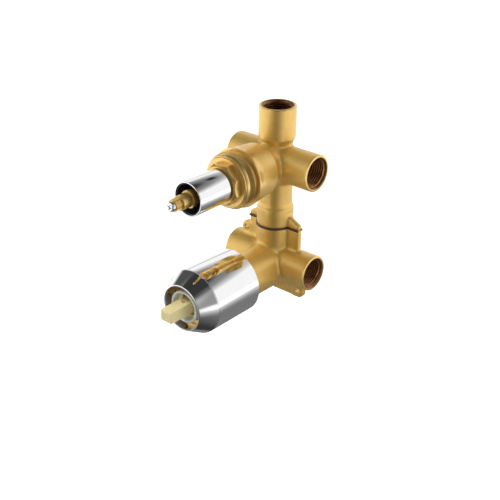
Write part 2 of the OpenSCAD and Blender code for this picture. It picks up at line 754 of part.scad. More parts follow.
module rotor() color(ivory) difference() {
    guide_depth = 3;
    union() {
        rod(housing_bore_r - loose, rotor_back, rotor_shoulder);
        rod(collar_bore_r - running, rotor_shoulder - past, rotor_front);
        for (side = [-1, 1])
            translate([side > 0 ? carrier_half + running : -carrier_half - running - 2.4,
                       -rotor_back, -5])
                cube([2.4, guide_depth, 10]);
    }
    translate([-lever_w / 2 - loose, -rotor_front - past, -slot_half])
        cube([lever_w + 2 * loose, rotor_front - rotor_back + 2 * past, 2 * slot_half]);
    translate([0, -pin_d, 0]) rotate([0, 90, 0])
        cylinder(r = pin_r + running / 2, h = 2 * collar_bore_r, center = true);
}

// Half length of the lever's pin, which ends inside the rotor
pin_half = 8.4;

module lever_pin() color("silver") translate([0, -pin_d, 0]) rotate([0, 90, 0])
    cylinder(r = pin_r, h = 2 * pin_half, center = true);

module lever() color(ivory) difference() {
    tip = 0.9;
    stem_half = 3;
    union() {
        intersection() {
            translate([0, -pin_d + pin_offset, 0]) rotate([90, 0, 0])
                linear_extrude(lever_front - pin_d + pin_offset) lever_outline();
            rotate([90, 0, 90]) linear_extrude(lever_w + 2 * past, center = true)
                side_outline(lever_h / 2, tip);
            rotate([0, 0, -90]) linear_extrude(lever_h + 2 * past, center = true)
                rotate([0, 0, 0]) top_outline(lever_w / 2, tip);
        }
        translate([-foot_half, -pin_d, -stem_half / 2 - 0.4])
            cube([2 * foot_half, pin_d - foot_d, stem_half + 0.8]);
        translate([0, -foot_d, 0]) rotate([0, 90, 0])
            cylinder(r = lever_foot_r, h = 2 * foot_half, center = true);
    }
    translate([0, -pin_d, 0]) rotate([0, 90, 0])
        cylinder(r = pin_r + running, h = lever_w + 2 * past, center = true);
    translate([0, -collar_front, lever_h / 2 - 1.6]) cylinder(r = dimple_r, h = 1.6 + past);
}

// Cross-section of the lever, with small rounded corners
module lever_outline() {
    corner = 0.8;
    w = lever_w / 2 - corner;
    h = lever_h / 2 - corner;
    square([2 * w, lever_h], center = true);
    square([lever_w, 2 * h], center = true);
    for (x = [-w, w]) for (y = [-h, h]) translate([x, y]) circle(r = corner, $fn = 32);
}

// Outline of the lever from its side or its top, with a chamfered tip; x runs backward
module side_outline(half, tip)
    polygon([[-lever_front, -half + tip], [-lever_front + tip, -half], [-pin_d + pin_offset, -half],
             [-pin_d + pin_offset, half], [-lever_front + tip, half], [-lever_front, half - tip]]);

module top_outline(half, tip)
    polygon([[lever_front, -half + tip], [lever_front - tip, -half], [pin_d - pin_offset, -half],
             [pin_d - pin_offset, half], [lever_front - tip, half], [lever_front, half - tip]]);

module cartridge_housing() color(plastic) turned() polygon([
    [housing_bore_r, base_front - base_step], [cartridge_r, base_front - base_step],
    [cartridge_r, housing_shoulder - 0.5], [cartridge_r - 0.5, housing_shoulder],
    [collar_r, housing_shoulder], [collar_r, collar_front - 0.4], [collar_r - 0.4, collar_front],
    [collar_bore_r + 0.4, collar_front], [collar_bore_r, collar_front - 0.4],
    [collar_bore_r, housing_ceiling], [housing_bore_r, housing_ceiling]]);

module slip_ring() color("whitesmoke") turned()
    translate([collar_r + 0.3, housing_shoulder])
        square([cartridge_r - collar_r - 0.9, slip_ring_t]);

module retaining_nut() color(brass_turned) difference() {
    union() {
        rod(nut_r, nut_back, nut_seat);
        translate([0, -nut_seat, 0]) rotate([90, 0, 0])
            cylinder(r = nut_af / 2 / cos(30), h = nut_flange_t, $fn = 6);
    }
    rod(cartridge_r + 0.4, nut_back - past, nut_seat);
    turned() polygon([[0, nut_seat - past], [collar_r + 0.3, nut_seat - past],
                      [collar_r + 0.3, nut_front - 0.8], [collar_r + 1.1 + past, nut_front + past],
                      [0, nut_front + past]]);
}

module mixing_sleeve() color(chrome) turned() polygon([
    [big_sleeve_bore, big_sleeve_back], [big_sleeve_r - 0.3, big_sleeve_back],
    [big_sleeve_r, big_sleeve_back + 0.3], [big_sleeve_r, big_sleeve_front - 0.3],
    [big_sleeve_r - 0.3, big_sleeve_front], [big_sleeve_bore, big_sleeve_front]]);

module sleeve_ring() color(rubber)
    ring(big_sleeve_bore, ring_section, big_sleeve_back + 9);

module dome_cap() color(chrome) turned() {
    spigot = 4;
    spigot_r_out = big_sleeve_bore - running;
    throat_back = nut_front + 0.4;
    polygon([
        [spigot_r_out - 1.2, big_sleeve_front - spigot], [spigot_r_out, big_sleeve_front - spigot],
        [spigot_r_out, big_sleeve_front], [big_sleeve_r - 0.3, big_sleeve_front],
        [big_sleeve_r, big_sleeve_front + 0.3], [dome_rim_r + 0.3, dome_front - 0.7],
        [dome_rim_r, dome_front - 0.2], [dome_rim_r - 0.2, dome_front],
        [throat_r + 0.2, dome_front], [throat_r, dome_front - 0.2],
        [throat_r, throat_back], [throat_r + dome_wall, throat_back],
        [throat_r + dome_wall, throat_back + 3.4], [spigot_r_out - 1.2, big_sleeve_front]]);
}

upper_casting();
lower_casting();
joint_bead();
neck_ring();
diverter_bonnet();
bonnet_ring();
diverter_seal();
diverter_fixed_disc();
diverter_turning_disc();
slide_washer();
spindle();
spindle_rings();
handle_screw();
small_sleeve();
small_sleeve_liner();
cartridge_base();
base_rings();
fixed_disc();
sliding_disc();
disc_carrier();
rotor();
lever_pin();
lever();
cartridge_housing();
slip_ring();
retaining_nut();
mixing_sleeve();
sleeve_ring();
dome_cap();
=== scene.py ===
# %% [markdown]
# # A concealed shower valve in cast brass and chrome
#
# The valve sits inside a wall. Two brass castings are joined at a neck. The lower one mixes hot and
# cold water with an ivory lever, and the upper one sends the mixed water to one of three outlets.
# This notebook dresses the solids of the valve: it gives them cast fillets, screw threads and finishes.
# It works in millimetres and turns them into Blender's metres in one place.

# %% Load the solids
import math

import bpy
import numpy as np
from mathutils import Matrix, Vector


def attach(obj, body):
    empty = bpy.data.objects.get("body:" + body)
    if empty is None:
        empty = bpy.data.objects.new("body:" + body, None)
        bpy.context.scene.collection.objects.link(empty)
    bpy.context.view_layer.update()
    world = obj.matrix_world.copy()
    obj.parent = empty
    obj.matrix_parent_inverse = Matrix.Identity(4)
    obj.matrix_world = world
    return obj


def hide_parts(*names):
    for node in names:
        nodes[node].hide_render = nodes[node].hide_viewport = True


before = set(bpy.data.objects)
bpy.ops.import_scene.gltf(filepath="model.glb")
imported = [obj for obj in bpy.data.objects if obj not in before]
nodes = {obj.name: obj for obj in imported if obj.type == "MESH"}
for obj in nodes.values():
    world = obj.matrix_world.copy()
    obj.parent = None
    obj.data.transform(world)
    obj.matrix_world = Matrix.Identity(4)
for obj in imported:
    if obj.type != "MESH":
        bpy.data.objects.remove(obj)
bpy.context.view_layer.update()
MM = 0.001
print("solids:", len(nodes))

# %% [markdown]
# ## The sizes that this dressing shares with the solids
#
# The valve has two main axes that both point forward, to the user. The mixing axis is at height 0 and
# the diverter's axis is above it. A place along them is measured forward from the plane of the ports.

# %% Sizes in millimetres
axis_gap = 76.2
port_r, port_bore_r, port_depth = 13.0, 10.5, 15.0
outlet_reach, inlet_reach, top_reach = 35.3, 36.0, 40.6
joint_z = 29.3
bell_front, boss_front, boss_r = 42.0, 51.7, 19.3
lug_x, lug_z, lug_hole_r = 24.2, 18.3, 2.2
print("distance between the axes:", axis_gap, "mm")

# %% [markdown]
# ## Turned shapes
#
# Nearly every part of a valve is turned on a lathe, so one helper spins a section around an axis.
# The section is a closed list of points: radius first, then the place along the axis. A third number
# rounds that corner, because no turned edge is perfectly sharp, and the round catches the light.

# %% A lathe
FORWARD = Matrix.Rotation(math.radians(90), 4, "X")
RIGHT = Matrix.Rotation(math.radians(90), 4, "Y")
LEFT = Matrix.Rotation(math.radians(-90), 4, "Y")
UP = Matrix.Identity(4)


def at(x=0.0, y=0.0, z=0.0):
    return Matrix.Translation((x, y, z))


def eased(section, steps=5):
    """The section's points, with each corner that has a third number turned into an arc."""
    points = []
    count = len(section)
    for i, corner in enumerate(section):
        here = Vector(corner[:2])
        radius = corner[2] if len(corner) > 2 else 0.0
        if radius <= 0:
            points.append(tuple(here))
            continue
        to_last = (Vector(section[i - 1][:2]) - here).normalized()
        to_next = (Vector(section[(i + 1) % count][:2]) - here).normalized()
        half = to_last.angle(to_next) / 2
        reach = radius / math.tan(half)
        centre = here + (to_last + to_next).normalized() * (radius / math.sin(half))
        start, end = here + to_last * reach - centre, here + to_next * reach - centre
        sweep = start.angle_signed(end)
        for k in range(steps + 1):
            turn = -sweep * k / steps
            points.append((centre.x + start.x * math.cos(turn) - start.y * math.sin(turn),
                           centre.y + start.x * math.sin(turn) + start.y * math.cos(turn)))
    return points


def rings_to_mesh(name, rings, materials, faces_material, closed, place):
    """A mesh from rings of points: neighbours are joined, and a ring of one point is a tip."""
    verts, faces, kinds, starts = [], [], [], []
    for ring in rings:
        starts.append(len(verts))
        verts.extend(ring)
    pairs = len(rings) if closed else len(rings) - 1
    for i in range(pairs):
        j = (i + 1) % len(rings)
        a, b = rings[i], rings[j]
        if len(a) == 1 and len(b) == 1:
            continue
        n = max(len(a), len(b))
        for k in range(n):
            m = (k + 1) % n
            corner = [starts[i] + (k if len(a) > 1 else 0), starts[i] + (m if len(a) > 1 else 0),
                      starts[j] + (m if len(b) > 1 else 0), starts[j] + (k if len(b) > 1 else 0)]
            faces.append([v for p, v in enumerate(corner) if v not in corner[:p]])
            kinds.append(faces_material[i] if faces_material else 0)
    mesh = bpy.data.meshes.new(name)
    scale = Matrix.Diagonal((MM, MM, MM, 1.0))
    mesh.from_pydata([scale @ place @ Vector(v) for v in verts], [], faces)
    for material in materials:
        mesh.materials.append(material)
    mesh.polygons.foreach_set("material_index", kinds)
    mesh.validate()
    face_out(mesh)
    return mesh


def face_out(mesh):
    """Turns the faces of a closed mesh outward."""
    import bmesh
    bm = bmesh.new()
    bm.from_mesh(mesh)
    bmesh.ops.recalc_face_normals(bm, faces=bm.faces)
    bm.to_mesh(mesh)
    bm.free()


def lathe(name, section, place, materials=(), kinds=None, segments=128):
    """The mesh of a turned part."""
    rings = []
    for r, d in section:
        if r < 1e-6:
            rings.append([(0.0, 0.0, d)])
        else:
            rings.append([(r * math.cos(2 * math.pi * k / segments),
                           r * math.sin(2 * math.pi * k / segments), d) for k in range(segments)])
    return rings_to_mesh(name, rings, materials, kinds, True, place)


def smooth(mesh, angle=32):
    """Smooth shading with the real edges left sharp."""
    mesh.polygons.foreach_set("use_smooth", [True] * len(mesh.polygons))
    mesh.set_sharp_from_angle(angle=math.radians(angle))


def add(mesh, body, slot, *stands_for):
    """Puts a finished mesh in the scene: it rides on a body and may stand for solids."""
    piece = bpy.data.objects.new(mesh.name, mesh)
    bpy.context.scene.collection.objects.link(piece)
    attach(piece, body)
    if stands_for:
        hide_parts(*stands_for)
    print(f"{piece.name}: {len(mesh.vertices)} points")
    return piece


# %% [markdown]
# ## Finishes
#
# A finish is more than a colour. Cast brass is blasted, so it is satin and has a fine grain, and its
# colour drifts a little from place to place. One node group makes that drift and grain from noise, and
# each material sets how strong and how fine it is.

# %% A node group for grain
def socket(group, name, kind, inward, value=None):
    made = group.interface.new_socket(name=name, in_out="INPUT" if inward else "OUTPUT", socket_type=kind)
    if value is not None:
        made.default_value = value
    return made


def node(tree, kind, x=0, y=0, **values):
    made = tree.nodes.new(kind)
    made.location = (x, y)
    for key, value in values.items():
        if key in made.inputs:
            made.inputs[key].default_value = value
        else:
            setattr(made, key, value)
    return made


def grain_group():
    """Grain: two colours mixed by slow noise, roughness that drifts, and a fine height."""
    group = bpy.data.node_groups.new("grain", "ShaderNodeTree")
    socket(group, "Color A", "NodeSocketColor", True, (0.8, 0.6, 0.3, 1))
    socket(group, "Color B", "NodeSocketColor", True, (0.7, 0.5, 0.2, 1))
    socket(group, "Drift Scale", "NodeSocketFloat", True, 120.0)
    socket(group, "Grain Scale", "NodeSocketFloat", True, 2500.0)
    socket(group, "Roughness Low", "NodeSocketFloat", True, 0.3)
    socket(group, "Roughness High", "NodeSocketFloat", True, 0.5)
    socket(group, "Color", "NodeSocketColor", False)
    socket(group, "Roughness", "NodeSocketFloat", False)
    socket(group, "Height", "NodeSocketFloat", False)
    links = group.links
    inside = node(group, "NodeGroupInput", -900, 0)
    outside = node(group, "NodeGroupOutput", 500, 0)
    place = node(group, "ShaderNodeTexCoord", -900, 300)
    drift = node(group, "ShaderNodeTexNoise", -600, 300, Detail=4.0, Roughness=0.6)
    grain = node(group, "ShaderNodeTexNoise", -600, -200, Detail=3.0, Roughness=0.55)
    lift = node(group, "ShaderNodeMapRange", -350, 300)
    lift.inputs["From Min"].default_value = 0.32
    lift.inputs["From Max"].default_value = 0.68
    mix = node(group, "ShaderNodeMix", 0, 250, data_type="RGBA")
    rough = node(group, "ShaderNodeMapRange", 0, 0)
    links.new(place.outputs["Object"], drift.inputs["Vector"])
    links.new(place.outputs["Object"], grain.inputs["Vector"])
    links.new(inside.outputs["Drift Scale"], drift.inputs["Scale"])
    links.new(inside.outputs["Grain Scale"], grain.inputs["Scale"])
    links.new(drift.outputs["Fac"], lift.inputs["Value"])
    links.new(lift.outputs["Result"], mix.inputs["Factor"])
    links.new(inside.outputs["Color A"], mix.inputs["A"])
    links.new(inside.outputs["Color B"], mix.inputs["B"])
    links.new(grain.outputs["Fac"], rough.inputs["Value"])
    links.new(inside.outputs["Roughness Low"], rough.inputs["To Min"])
    links.new(inside.outputs["Roughness High"], rough.inputs["To Max"])
    links.new(mix.outputs["Result"], outside.inputs["Color"])
    links.new(rough.outputs["Result"], outside.inputs["Roughness"])
    links.new(grain.outputs["Fac"], outside.inputs["Height"])
    return group


GRAIN = grain_group()
print("group:", GRAIN.name, "with", len(GRAIN.nodes), "nodes")


# %% A material from the grain
def finish(name, low, high, metal, rough, drift=120.0, grain=2500.0, bump=0.1, depth=0.02, **shader):
    """A material: two colours that drift, a roughness range, and a bump of a real depth in millimetres."""
    material = bpy.data.materials.new(name)
    material.use_nodes = True
    tree = material.node_tree
    surface = tree.nodes["Principled BSDF"]
    surface.inputs["Metallic"].default_value = metal
    for key, value in shader.items():
        surface.inputs[key.replace("_", " ")].default_value = value
    group = node(tree, "ShaderNodeGroup", -500, 200, node_tree=GRAIN)
    for key, value in (("Color A", (*low, 1)), ("Color B", (*high, 1)), ("Drift Scale", drift),
                       ("Grain Scale", grain), ("Roughness Low", rough[0]), ("Roughness High", rough[1])):
        group.inputs[key].default_value = value
    relief = node(tree, "ShaderNodeBump", -250, -150, Strength=bump, Distance=depth * MM)
    tree.links.new(group.outputs["Color"], surface.inputs["Base Color"])
    tree.links.new(group.outputs["Roughness"], surface.inputs["Roughness"])
    tree.links.new(group.outputs["Height"], relief.inputs["Height"])
    tree.links.new(relief.outputs["Normal"], surface.inputs["Normal"])
    material.diffuse_color = (*low, 1)
    return material


cast_brass = finish("cast_brass", (0.86, 0.57, 0.15), (0.78, 0.49, 0.11), 0.7, (0.36, 0.48),
                    drift=90, grain=1900, bump=0.35, depth=0.10, Coat_Weight=0.4, Coat_Roughness=0.3, Coat_IOR=1.7)
turned_brass = finish("turned_brass", (0.88, 0.60, 0.20), (0.80, 0.51, 0.14), 0.85, (0.24, 0.34),
                      drift=200, grain=3500, bump=0.15, depth=0.02, Coat_Weight=0.3, Coat_Roughness=0.2, Coat_IOR=1.8)
# Dark brown for the threads and chamfers inside the ports: painted shade in the bores.
thread_brass = finish("thread_brass", (0.42, 0.20, 0.08), (0.28, 0.12, 0.05), 1.0, (0.25, 0.45),
                      drift=400, grain=3000, bump=0.2, depth=0.03)
chrome = finish("chrome", (0.93, 0.93, 0.94), (0.90, 0.90, 0.91), 1.0, (0.03, 0.06),
                drift=60, grain=900, bump=0.02, depth=0.01)
rubber = finish("rubber", (0.02, 0.02, 0.02), (0.035, 0.035, 0.035), 0.0, (0.5, 0.7), grain=1500)
# A near-black lining for the small sleeve, so that the inside of the sleeve reads dark.
black_plastic = finish("black_plastic", (0.012, 0.012, 0.013), (0.02, 0.02, 0.02), 0.0, (0.35, 0.5), grain=2000)
white_plastic = finish("white_plastic", (0.62, 0.63, 0.60), (0.52, 0.53, 0.50), 0.0, (0.3, 0.42), drift=150,
                       grain=1500, bump=0.1, depth=0.02)
ivory = finish("ivory", (0.76, 0.67, 0.36), (0.70, 0.60, 0.29), 0.0, (0.33, 0.45), drift=140, grain=1400,
               bump=0.2, depth=0.03, Subsurface_Weight=0.25, Subsurface_Scale=0.002)
ceramic = finish("ceramic", (0.82, 0.81, 0.77), (0.78, 0.77, 0.73), 0.0, (0.12, 0.2), grain=1800)
sealant = finish("sealant", (0.11, 0.045, 0.018), (0.045, 0.018, 0.009), 0.0, (0.3, 0.6), drift=700,
                 grain=1800, bump=0.5, depth=0.2)
steel = finish("steel", (0.60, 0.60, 0.61), (0.5, 0.5, 0.51), 1.0, (0.2, 0.35), drift=300, grain=3000)
print("materials:", len(bpy.data.materials))

# %% [markdown]
# ## Dressing the solids that keep their shape
#
# The seals, discs and rings inside are already right, so they only take their finish. Each solid is an
# object whose material slot is filled anew.

# %% Finishes for the inner parts
plain = {
    # The sleeve ring is black and makes a dark line where the small sleeve meets its nut.
    rubber: ("neck_ring", "bonnet_ring", "diverter_seal", "spindle_rings", "base_rings", "sleeve_ring"),
    ceramic: ("diverter_fixed_disc", "diverter_turning_disc", "fixed_disc", "sliding_disc"),
    white_plastic: ("slide_washer", "cartridge_base", "disc_carrier", "cartridge_housing", "slip_ring"),
    ivory: ("rotor", "lever"),
    steel: ("lever_pin",),
    turned_brass: ("diverter_bonnet", "spindle", "retaining_nut"),
    chrome: ("handle_screw", "small_sleeve", "mixing_sleeve", "dome_cap"),
    black_plastic: ("small_sleeve_liner",),
    sealant: ("joint_bead",),
    cast_brass: ("upper_casting", "lower_casting"),
}
for material, names in plain.items():
    for name in names:
        mesh = nodes[name].data
        mesh.materials.clear()
        mesh.materials.append(material)
        smooth(mesh, 30)
print("dressed:", sum(len(names) for names in plain.values()))

# %% [markdown]
# ## The castings
#
# Where two cast tubes meet, the metal flows from one into the other through a soft fillet, while the
# ports, faces and threads are machined and crisp. So the casting is made the way a foundry makes it:
# first a rough skin without any bores, longer than the part at its ports, then the machining.
# The skin is a voxel remesh of the solid with its bores filled. Smoothing then fills the hollow corners.
# A point that smoothing moves outward lies in a hollow corner, so it takes the whole move, and a
# point that it moves inward lies on a ridge, so it takes only a little and the ridge stays crisp.

# %% A rough skin
def rod_mesh(radius, start, end, place, segments=96):
    return lathe("rod", [(0, start), (radius, start), (radius, end), (0, end)], place, segments=segments)


def joined(name, meshes):
    """One mesh that holds several, even where they run through each other."""
    import bmesh
    bm = bmesh.new()
    for mesh in meshes:
        bm.from_mesh(mesh)
    whole = bpy.data.meshes.new(name)
    bm.to_mesh(whole)
    bm.free()
    return whole


def applied(piece, *modifiers):
    """The piece's mesh after its modifiers."""
    for kind, values in modifiers:
        modifier = piece.modifiers.new(kind.lower(), kind)
        for key, value in values.items():
            setattr(modifier, key, value)
    bpy.context.view_layer.update()
    result = bpy.data.meshes.new_from_object(piece.evaluated_get(bpy.context.evaluated_depsgraph_get()))
    return result


def temporary(mesh):
    piece = bpy.data.objects.new("rough", mesh)
    bpy.context.scene.collection.objects.link(piece)
    return piece


def skin(name, solid, fillers, voxel):
    """The outer skin of a casting, with its bores filled and its ports too long."""
    rough = temporary(joined(name, [solid] + fillers))
    mesh = applied(rough, ("REMESH", {"mode": "VOXEL", "voxel_size": voxel * MM, "adaptivity": 0.0}))
    bpy.data.objects.remove(rough)
    print(f"{name}: {len(mesh.vertices)} points in the skin")
    return mesh


# %% Cast fillets
def spread(count, edges, values):
    """The mean of each point's neighbours."""
    total = np.zeros_like(values)
    for a, b in ((0, 1), (1, 0)):
        for axis in range(values.shape[1]):
            total[:, axis] += np.bincount(edges[:, a], values[edges[:, b], axis], count)
    degree = np.bincount(edges.ravel(), minlength=count)
    return total / np.maximum(degree, 1)[:, None]


def fillet(mesh, rounds, ridge=0.25, limit=2.2):
    """Fills hollow corners as a foundry's pattern does, and eases ridges a little."""
    count = len(mesh.vertices)
    start = np.empty(count * 3)
    mesh.vertices.foreach_get("co", start)
    start = start.reshape(-1, 3)
    edges = np.empty(len(mesh.edges) * 2, np.int64)
    mesh.edges.foreach_get("vertices", edges)
    edges = edges.reshape(-1, 2)
    for _ in range(2):
        start = 0.5 * start + 0.5 * spread(count, edges, start)
    moved = start.copy()
    for _ in range(rounds):
        moved = 0.3 * moved + 0.7 * spread(count, edges, moved)
    mesh.vertices.foreach_set("co", start.ravel())
    mesh.update()
    normals = np.empty(count * 3)
    mesh.vertex_normals.foreach_get("vector", normals)
    normals = normals.reshape(-1, 3)
    outward = np.einsum("ij,ij->i", moved - start, normals)
    share = np.where(outward > 0, 1.0, ridge)
    for _ in range(3):
        share = 0.5 * share + 0.5 * spread(count, edges, share[:, None])[:, 0]
    step = (moved - start) * share[:, None]
    length = np.linalg.norm(step, axis=1)
    step *= (np.minimum(length, limit * MM) / np.maximum(length, 1e-9))[:, None]
    mesh.vertices.foreach_set("co", (start + step).ravel())
    mesh.update()
    print(f"{mesh.name}: fillets up to {length.max() / MM:.2f} mm")


# %% [markdown]
# ## Machining the ports
#
# Each port is faced, chamfered, bored and tapped in one go, so one cutter does it all. It is a turned
# shape whose middle stretch is a screw: its radius also depends on the angle around the axis, which
# makes the ridge climb by one pitch in each turn. Pipe thread of the half-inch size climbs 1.814 mm.

# %% The port cutter
PITCH = 1.814
CREST = 9.35


def port_cutter(reach, passage_r, relief_from, outer_r=port_r, segments=96):
    """A cutter along +Z from the axis to beyond the port's face, in millimetres."""
    thread_end = reach - 0.9
    thread_start = reach - port_depth
    rows = [(0.0, 0.0, 0), (passage_r, 0.0, 0), (passage_r, relief_from, 0), (port_bore_r - 2.0, relief_from, 0),
            (port_bore_r - 2.0, thread_start - 0.8, 1)]
    steps = int((thread_end - thread_start) / PITCH * 9)
    screw = []
    for i in range(steps + 1):
        height = thread_start + (thread_end - thread_start) * i / steps
        fade = min(1.0, (thread_end - height) / 1.2)
        screw.append((height, fade))
    last = [(port_bore_r + 0.15, thread_end + 0.2, 1), (port_bore_r + 0.85, reach, 0),
            (outer_r - 0.7, reach, 0), (outer_r - 0.18, reach - 0.25, 0), (outer_r, reach - 0.8, 0),
            (outer_r + 3.0, reach - 0.8, 0), (outer_r + 3.0, reach + 6.0, 0), (0.0, reach + 6.0, 0)]
    rings, kinds = [], []

    def plain_ring(r, height):
        if r < 1e-6:
            return [(0.0, 0.0, height)]
        return [(r * math.cos(2 * math.pi * k / segments), r * math.sin(2 * math.pi * k / segments), height)
                for k in range(segments)]

    for r, height, kind in rows:
        rings.append(plain_ring(r, height))
        kinds.append(kind)
    for height, fade in screw:
        ring = []
        for k in range(segments):
            phase = (height / PITCH - k / segments) % 1.0
            ridge = min(1.0, max(0.0, (abs(2 * phase - 1) - 0.12) / 0.72))
            r = port_bore_r - (port_bore_r - CREST) * ridge * fade
            ring.append((r * math.cos(2 * math.pi * k / segments), r * math.sin(2 * math.pi * k / segments), height))
        rings.append(ring)
        kinds.append(1)
    for r, height, kind in last:
        rings.append(plain_ring(r, height))
        kinds.append(kind)
    return rings, kinds


def cut(piece, cutters, operation="DIFFERENCE"):
    """Machines a piece with one mesh after another."""
    for cutter in cutters:
        tool = temporary(cutter)
        mesh = applied(piece, ("BOOLEAN", {"operation": operation, "object": tool, "solver": "MANIFOLD",
                                           "material_mode": "TRANSFER"}))
        piece.modifiers.clear()
        piece.data = mesh
        bpy.data.objects.remove(tool)
    return piece


def port(name, reach, passage_r, relief_from, place):
    rings, kinds = port_cutter(reach, passage_r, relief_from)
    # The cutter's thread and chamfer faces take the dark brown, which paints the shade inside each port.
    return rings_to_mesh(name, rings, [turned_brass, thread_brass], kinds, False, place)


# %% The upper casting
DIVERTER = at(z=axis_gap)
upper_fill = [
    rod_mesh(port_r, 0, outlet_reach + 3, DIVERTER @ RIGHT),
    rod_mesh(port_r, 0, outlet_reach + 3, DIVERTER @ LEFT),
    rod_mesh(10.8, 0, 20, DIVERTER),
    rod_mesh(port_r, top_reach - 22.6, top_reach + 3, DIVERTER),
    rod_mesh(18.6, 20, bell_front + 1, DIVERTER @ FORWARD),
    rod_mesh(10.2, 31, 66, UP),
]
upper_mesh = skin("upper_skin", nodes["upper_casting"].data, upper_fill, 0.6)
fillet(upper_mesh, 26)
upper_mesh.materials.clear()
upper_mesh.materials.append(cast_brass)
bell_nose = lathe("bell_nose", eased([
    (0, 36), (20.15, 36), (20.5, 39.8), (20.8, 40.8, 0.25), (20.8, bell_front, 0.35), (boss_r - 0.9, bell_front),
    (boss_r - 0.9, 44.7), (boss_r - 0.45, 44.9)] + [
    (boss_r - (0.45 if i % 2 == 0 else 0.0), 45.1 + 0.4 * i) for i in range(13)] + [
    (boss_r - 0.45, 50.3), (boss_r - 1.3, boss_front, 0.2), (0, boss_front)]),
    DIVERTER @ FORWARD, [turned_brass], segments=160)
upper = temporary(upper_mesh)
cut(upper, [rod_mesh(30, 38.6, 60, DIVERTER @ FORWARD)])
cut(upper, [bell_nose], "UNION")
cut(upper, [
    lathe("bell_bore", [(0, 24), (14.3, 24), (14.3, 40.7), (16.4, 40.7), (16.4, 60), (0, 60)],
          DIVERTER @ FORWARD, [turned_brass]),
    port("right_tap", outlet_reach, 3.8, 14.0, DIVERTER @ RIGHT),
    port("left_tap", outlet_reach, 3.8, 14.0, DIVERTER @ LEFT),
    port("top_tap", top_reach, 3.8, 14.0, DIVERTER),
])
upper_shape = upper.data
upper_shape.name = "upper_brass"
bpy.data.objects.remove(upper)
smooth(upper_shape, 40)
upper_piece = add(upper_shape, "valve", "cast_brass", "upper_casting")

# %% The lower casting
lower_fill = [
    rod_mesh(port_r, 0, inlet_reach + 3, RIGHT),
    rod_mesh(port_r, 0, inlet_reach + 3, LEFT),
    rod_mesh(20.6, 50, 78.9, FORWARD),
    rod_mesh(15, 10, 52, FORWARD),
    rod_mesh(11, 10, joint_z - 0.2, UP),
    rod_mesh(3.2, -2.6, 2.6, at(-lug_x, 0, lug_z) @ FORWARD),
    rod_mesh(3.2, -2.6, 2.6, at(lug_x, 0, -lug_z) @ FORWARD),
]
lower_mesh = skin("lower_skin", nodes["lower_casting"].data, lower_fill, 0.6)
fillet(lower_mesh, 30)
lower_mesh.materials.clear()
lower_mesh.materials.append(cast_brass)
lower = temporary(lower_mesh)
cut(lower, [
    lathe("chamber_bore", [(0, 57), (17.6, 57), (17.6, 71.9), (18.95, 71.9), (18.95, 82), (0, 82)],
          FORWARD, [turned_brass]),
    lathe("neck_socket", [(0, 12), (7.5, 12), (7.5, 20.3), (10.05, 20.3), (10.05, 31), (0, 31)], UP, [turned_brass]),
    lathe("lug_hole_a", [(0, -6), (lug_hole_r, -6), (lug_hole_r, 6), (0, 6)], at(-lug_x, 0, lug_z) @ FORWARD,
          [turned_brass], segments=48),
    lathe("lug_hole_b", [(0, -6), (lug_hole_r, -6), (lug_hole_r, 6), (0, 6)], at(lug_x, 0, -lug_z) @ FORWARD,
          [turned_brass], segments=48),
    port("cold_tap", inlet_reach, 3.6, 14.0, RIGHT),
    port("hot_tap", inlet_reach, 3.6, 14.0, LEFT),
])
lower_shape = lower.data
lower_shape.name = "lower_brass"
bpy.data.objects.remove(lower)
smooth(lower_shape, 40)
lower_piece = add(lower_shape, "valve", "cast_brass", "lower_casting")

# %% [markdown]
# ## Chrome
#
# Chrome is a mirror, so its shape has to be exact: a fine lathe and eased lips. The lips of the sleeves
# and of the dome show as bright lines because their small rounds face every way at once.

# %% The sleeves and the dome
add(lathe("big_sleeve_shell", eased([
    (21.9, 43.7, 0.2), (22.9, 43.7, 0.35), (22.9, 84.4, 0.3), (21.9, 84.4, 0.2)]),
    FORWARD, [chrome], segments=192), "valve", "chrome", "mixing_sleeve")
add(lathe("dome_shell", eased([
    (20.65, 80.4, 0.2), (21.85, 80.4, 0.3), (21.85, 84.4), (22.9, 84.4, 0.3), (22.78, 84.9, 0.4),
    (16.55, 96.35, 0.5), (16.1, 96.6, 0.25), (15.6, 96.6, 0.2), (15.5, 96.0), (15.5, 87.3, 0.15),
    (16.8, 87.3, 0.15), (16.8, 90.7), (20.65, 84.4)]),
    FORWARD, [chrome], segments=192), "valve", "chrome", "dome_cap")
add(lathe("small_sleeve_shell", eased([
    (10.85, 60.5, 0.15), (11.75, 60.5, 0.3), (11.75, 88.6, 0.35), (10.85, 88.6, 0.25)]),
    DIVERTER @ FORWARD, [chrome], segments=160), "valve", "chrome", "small_sleeve")
for name in ("big_sleeve_shell", "dome_shell", "small_sleeve_shell"):
    smooth(bpy.data.objects[name].data, 30)

# %% [markdown]
# ## The studio
#
# The object is seen on plain white. The floor and the world are white for the camera and in the metal,
# and soft lamps light it, though the metal does not mirror them. Polished metal needs something dark to mirror, so
# dark cards stand around it, as in any product studio.

